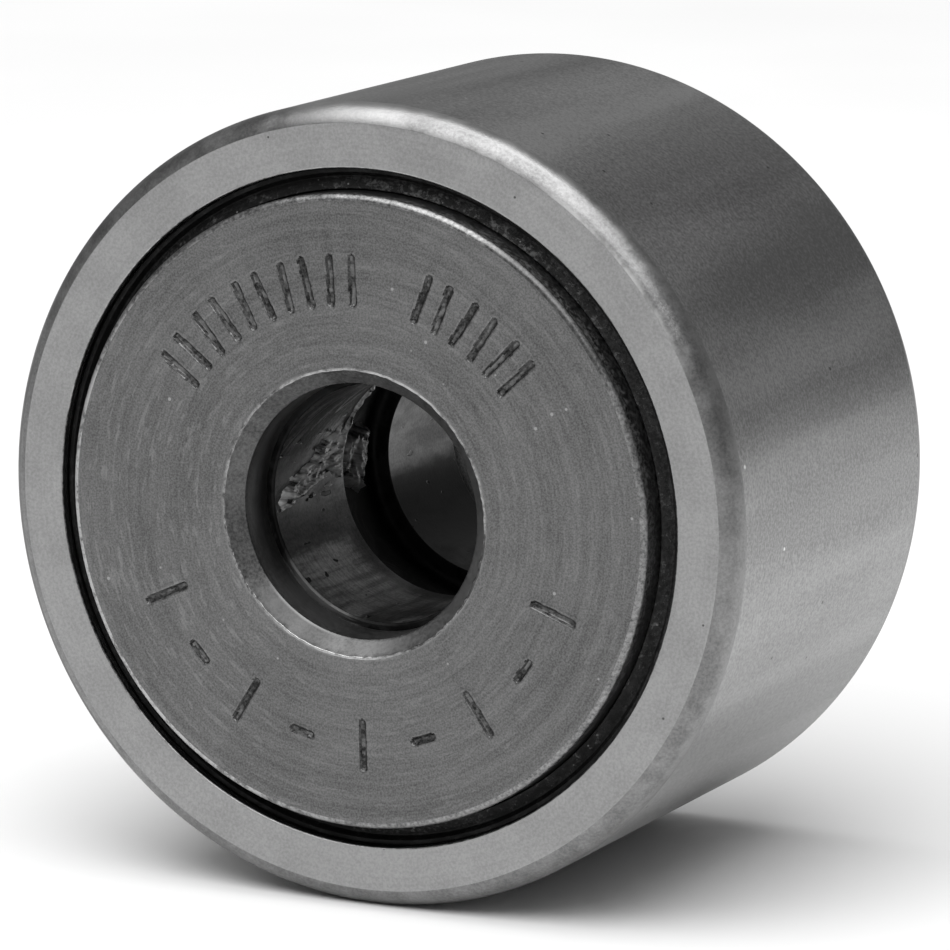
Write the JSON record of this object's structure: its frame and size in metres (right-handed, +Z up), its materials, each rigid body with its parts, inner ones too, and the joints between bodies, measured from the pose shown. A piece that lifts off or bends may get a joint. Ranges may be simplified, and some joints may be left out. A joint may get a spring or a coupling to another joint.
{
  "type": "yoke-type cam follower",
  "caption": "Sealed needle-roller cam follower: a thick outer ring turns on a full complement of needles round a bored inner ring held by two end plates.",
  "frame": {"origin": "centre of the bore at the roller's mid-plane, which is also the centre of the whole part", "axes": "+Y runs along the bore's axis from the stamped end plate to the plain one, +Z is up, and +X is to the right as seen from the stamped face"},
  "size_m": [0.0318, 0.0206, 0.0318],
  "materials": {
    "roller_steel": "hardened bearing steel, ground faces and tread, light oil film",
    "race_steel": "hardened bearing steel, bore ground with fine scratches and oil",
    "plate_steel": "steel, turned face with concentric marks, darkened finish",
    "seal_plastic": "black moulded plastic, dull, with traces of grease",
    "needle_steel": "hardened and polished bearing steel, greased"
  },
  "bodies": {
    "inner_assembly": {"inner_ring": "race_steel", "front_end_plate": "plate_steel", "rear_end_plate": "plate_steel"},
    "roller": {"outer_ring": "roller_steel", "front_seal": "seal_plastic", "rear_seal": "seal_plastic"},
    "needle_train": {"needle_01": "needle_steel"},
    "needle_02": {"needle_02": "needle_steel"},
    "needle_03": {"needle_03": "needle_steel"},
    "needle_04": {"needle_04": "needle_steel"},
    "needle_05": {"needle_05": "needle_steel"},
    "needle_06": {"needle_06": "needle_steel"},
    "needle_07": {"needle_07": "needle_steel"},
    "needle_08": {"needle_08": "needle_steel"},
    "needle_09": {"needle_09": "needle_steel"},
    "needle_10": {"needle_10": "needle_steel"},
    "needle_11": {"needle_11": "needle_steel"},
    "needle_12": {"needle_12": "needle_steel"},
    "needle_13": {"needle_13": "needle_steel"},
    "needle_14": {"needle_14": "needle_steel"},
    "needle_15": {"needle_15": "needle_steel"},
    "needle_16": {"needle_16": "needle_steel"},
    "needle_17": {"needle_17": "needle_steel"},
    "needle_18": {"needle_18": "needle_steel"},
    "needle_19": {"needle_19": "needle_steel"},
    "needle_20": {"needle_20": "needle_steel"}
  },
  "joints": [
    {"name": "roller_spin", "type": "hinge", "parent": "inner_assembly", "child": "roller", "pos_m": [0, 0, 0], "axis": [0, 1, 0], "continuous": true},
    {"name": "needle_orbit", "type": "hinge", "parent": "inner_assembly", "child": "needle_train", "pos_m": [0, 0, 0], "axis": [0, 1, 0], "continuous": true},
    {"name": "needle_02_spin", "type": "hinge", "parent": "needle_train", "child": "needle_02", "pos_m": [0.00983, 0, 0.00319], "axis": [0, 1, 0], "continuous": true},
    {"name": "needle_03_spin", "type": "hinge", "parent": "needle_train", "child": "needle_03", "pos_m": [0.00836, 0, 0.00607], "axis": [0, 1, 0], "continuous": true},
    {"name": "needle_04_spin", "type": "hinge", "parent": "needle_train", "child": "needle_04", "pos_m": [0.00607, 0, 0.00836], "axis": [0, 1, 0], "continuous": true},
    {"name": "needle_05_spin", "type": "hinge", "parent": "needle_train", "child": "needle_05", "pos_m": [0.00319, 0, 0.00983], "axis": [0, 1, 0], "continuous": true},
    {"name": "needle_06_spin", "type": "hinge", "parent": "needle_train", "child": "needle_06", "pos_m": [0, 0, 0.01033], "axis": [0, 1, 0], "continuous": true},
    {"name": "needle_07_spin", "type": "hinge", "parent": "needle_train", "child": "needle_07", "pos_m": [-0.00319, 0, 0.00983], "axis": [0, 1, 0], "continuous": true},
    {"name": "needle_08_spin", "type": "hinge", "parent": "needle_train", "child": "needle_08", "pos_m": [-0.00607, 0, 0.00836], "axis": [0, 1, 0], "continuous": true},
    {"name": "needle_09_spin", "type": "hinge", "parent": "needle_train", "child": "needle_09", "pos_m": [-0.00836, 0, 0.00607], "axis": [0, 1, 0], "continuous": true},
    {"name": "needle_10_spin", "type": "hinge", "parent": "needle_train", "child": "needle_10", "pos_m": [-0.00983, 0, 0.00319], "axis": [0, 1, 0], "continuous": true},
    {"name": "needle_11_spin", "type": "hinge", "parent": "needle_train", "child": "needle_11", "pos_m": [-0.01033, 0, 0], "axis": [0, 1, 0], "continuous": true},
    {"name": "needle_12_spin", "type": "hinge", "parent": "needle_train", "child": "needle_12", "pos_m": [-0.00983, 0, -0.00319], "axis": [0, 1, 0], "continuous": true},
    {"name": "needle_13_spin", "type": "hinge", "parent": "needle_train", "child": "needle_13", "pos_m": [-0.00836, 0, -0.00607], "axis": [0, 1, 0], "continuous": true},
    {"name": "needle_14_spin", "type": "hinge", "parent": "needle_train", "child": "needle_14", "pos_m": [-0.00607, 0, -0.00836], "axis": [0, 1, 0], "continuous": true},
    {"name": "needle_15_spin", "type": "hinge", "parent": "needle_train", "child": "needle_15", "pos_m": [-0.00319, 0, -0.00983], "axis": [0, 1, 0], "continuous": true},
    {"name": "needle_16_spin", "type": "hinge", "parent": "needle_train", "child": "needle_16", "pos_m": [0, 0, -0.01033], "axis": [0, 1, 0], "continuous": true},
    {"name": "needle_17_spin", "type": "hinge", "parent": "needle_train", "child": "needle_17", "pos_m": [0.00319, 0, -0.00983], "axis": [0, 1, 0], "continuous": true},
    {"name": "needle_18_spin", "type": "hinge", "parent": "needle_train", "child": "needle_18", "pos_m": [0.00607, 0, -0.00836], "axis": [0, 1, 0], "continuous": true},
    {"name": "needle_19_spin", "type": "hinge", "parent": "needle_train", "child": "needle_19", "pos_m": [0.00836, 0, -0.00607], "axis": [0, 1, 0], "continuous": true},
    {"name": "needle_20_spin", "type": "hinge", "parent": "needle_train", "child": "needle_20", "pos_m": [0.00983, 0, -0.00319], "axis": [0, 1, 0], "continuous": true}
  ],
  "couplings": [
    {"joint": "needle_orbit", "follows": "roller_spin", "ratio": 0.57754},
    {"joint": "needle_02_spin", "follows": "roller_spin", "ratio": 3.1819},
    {"joint": "needle_03_spin", "follows": "roller_spin", "ratio": 3.1819},
    {"joint": "needle_04_spin", "follows": "roller_spin", "ratio": 3.1819},
    {"joint": "needle_05_spin", "follows": "roller_spin", "ratio": 3.1819},
    {"joint": "needle_06_spin", "follows": "roller_spin", "ratio": 3.1819},
    {"joint": "needle_07_spin", "follows": "roller_spin", "ratio": 3.1819},
    {"joint": "needle_08_spin", "follows": "roller_spin", "ratio": 3.1819},
    {"joint": "needle_09_spin", "follows": "roller_spin", "ratio": 3.1819},
    {"joint": "needle_10_spin", "follows": "roller_spin", "ratio": 3.1819},
    {"joint": "needle_11_spin", "follows": "roller_spin", "ratio": 3.1819},
    {"joint": "needle_12_spin", "follows": "roller_spin", "ratio": 3.1819},
    {"joint": "needle_13_spin", "follows": "roller_spin", "ratio": 3.1819},
    {"joint": "needle_14_spin", "follows": "roller_spin", "ratio": 3.1819},
    {"joint": "needle_15_spin", "follows": "roller_spin", "ratio": 3.1819},
    {"joint": "needle_16_spin", "follows": "roller_spin", "ratio": 3.1819},
    {"joint": "needle_17_spin", "follows": "roller_spin", "ratio": 3.1819},
    {"joint": "needle_18_spin", "follows": "roller_spin", "ratio": 3.1819},
    {"joint": "needle_19_spin", "follows": "roller_spin", "ratio": 3.1819},
    {"joint": "needle_20_spin", "follows": "roller_spin", "ratio": 3.1819}
  ]
}
